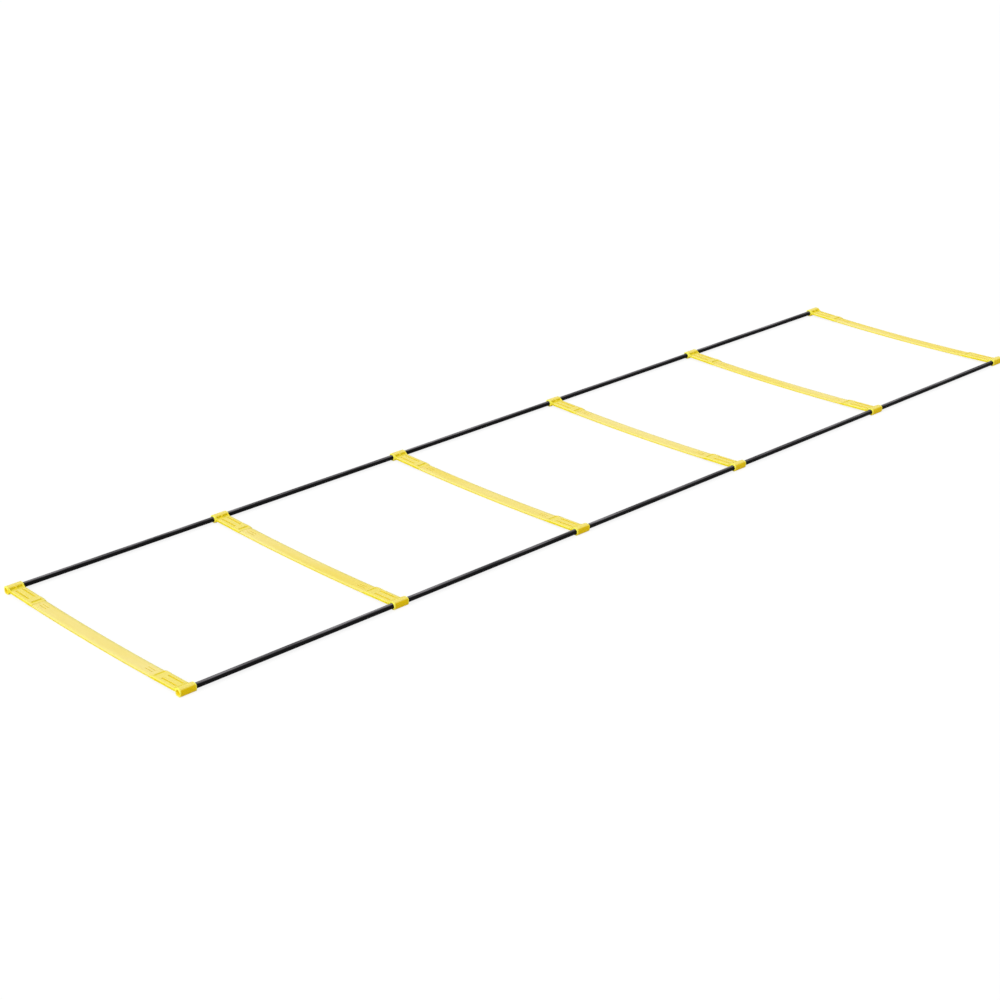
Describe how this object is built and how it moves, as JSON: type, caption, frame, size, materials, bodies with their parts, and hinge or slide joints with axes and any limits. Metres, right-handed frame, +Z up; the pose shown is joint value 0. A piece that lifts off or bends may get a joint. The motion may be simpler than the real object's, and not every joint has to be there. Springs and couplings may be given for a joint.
{
  "type": "agility ladder",
  "caption": "Flat training ladder: straight round side rods plug into clips at the ends of flexible rungs, leaving open bays to step into.",
  "frame": {"origin": "on the floor plane, under the middle of the ladder", "axes": "+X along the rails from rung 1 to rung 6, +Y to the left rail, +Z up"},
  "size_m": [2.131, 0.5134, 0.014],
  "materials": {
    "clip": "satin moulded bright yellow",
    "strap": "flexible satin warm yellow",
    "rod": "satin black"
  },
  "bodies": {
    "rung_1": {"left_clip_1": "clip", "right_clip_1": "clip", "strap_1": "strap"},
    "rung_2": {"left_clip_2": "clip", "right_clip_2": "clip", "strap_2": "strap"},
    "rung_3": {"left_clip_3": "clip", "right_clip_3": "clip", "strap_3": "strap"},
    "rung_4": {"left_clip_4": "clip", "right_clip_4": "clip", "strap_4": "strap"},
    "rung_5": {"left_clip_5": "clip", "right_clip_5": "clip", "strap_5": "strap"},
    "rung_6": {"left_clip_6": "clip", "right_clip_6": "clip", "strap_6": "strap"},
    "left_rod_1": {"left_rod_1": "rod"},
    "right_rod_1": {"right_rod_1": "rod"},
    "left_rod_2": {"left_rod_2": "rod"},
    "right_rod_2": {"right_rod_2": "rod"},
    "left_rod_3": {"left_rod_3": "rod"},
    "right_rod_3": {"right_rod_3": "rod"},
    "left_rod_4": {"left_rod_4": "rod"},
    "right_rod_4": {"right_rod_4": "rod"},
    "left_rod_5": {"left_rod_5": "rod"},
    "right_rod_5": {"right_rod_5": "rod"}
  },
  "joints": [
    {"name": "left_rod_1_pull", "type": "slide", "parent": "rung_1", "child": "left_rod_1", "axis": [1, 0, 0], "range_m": [0, 0.02]},
    {"name": "right_rod_1_pull", "type": "slide", "parent": "rung_1", "child": "right_rod_1", "axis": [1, 0, 0], "range_m": [0, 0.02]},
    {"name": "rung_2_pull", "type": "slide", "parent": "left_rod_1", "child": "rung_2", "axis": [1, 0, 0], "range_m": [0, 0.02]},
    {"name": "left_rod_2_pull", "type": "slide", "parent": "rung_2", "child": "left_rod_2", "axis": [1, 0, 0], "range_m": [0, 0.02]},
    {"name": "right_rod_2_pull", "type": "slide", "parent": "rung_2", "child": "right_rod_2", "axis": [1, 0, 0], "range_m": [0, 0.02]},
    {"name": "rung_3_pull", "type": "slide", "parent": "left_rod_2", "child": "rung_3", "axis": [1, 0, 0], "range_m": [0, 0.02]},
    {"name": "left_rod_3_pull", "type": "slide", "parent": "rung_3", "child": "left_rod_3", "axis": [1, 0, 0], "range_m": [0, 0.02]},
    {"name": "right_rod_3_pull", "type": "slide", "parent": "rung_3", "child": "right_rod_3", "axis": [1, 0, 0], "range_m": [0, 0.02]},
    {"name": "rung_4_pull", "type": "slide", "parent": "left_rod_3", "child": "rung_4", "axis": [1, 0, 0], "range_m": [0, 0.02]},
    {"name": "left_rod_4_pull", "type": "slide", "parent": "rung_4", "child": "left_rod_4", "axis": [1, 0, 0], "range_m": [0, 0.02]},
    {"name": "right_rod_4_pull", "type": "slide", "parent": "rung_4", "child": "right_rod_4", "axis": [1, 0, 0], "range_m": [0, 0.02]},
    {"name": "rung_5_pull", "type": "slide", "parent": "left_rod_4", "child": "rung_5", "axis": [1, 0, 0], "range_m": [0, 0.02]},
    {"name": "left_rod_5_pull", "type": "slide", "parent": "rung_5", "child": "left_rod_5", "axis": [1, 0, 0], "range_m": [0, 0.02]},
    {"name": "right_rod_5_pull", "type": "slide", "parent": "rung_5", "child": "right_rod_5", "axis": [1, 0, 0], "range_m": [0, 0.02]},
    {"name": "rung_6_pull", "type": "slide", "parent": "left_rod_5", "child": "rung_6", "axis": [1, 0, 0], "range_m": [0, 0.02]}
  ],
  "couplings": [
    {"joint": "right_rod_1_pull", "follows": "left_rod_1_pull", "ratio": 1},
    {"joint": "right_rod_2_pull", "follows": "left_rod_2_pull", "ratio": 1},
    {"joint": "right_rod_3_pull", "follows": "left_rod_3_pull", "ratio": 1},
    {"joint": "right_rod_4_pull", "follows": "left_rod_4_pull", "ratio": 1},
    {"joint": "right_rod_5_pull", "follows": "left_rod_5_pull", "ratio": 1}
  ]
}
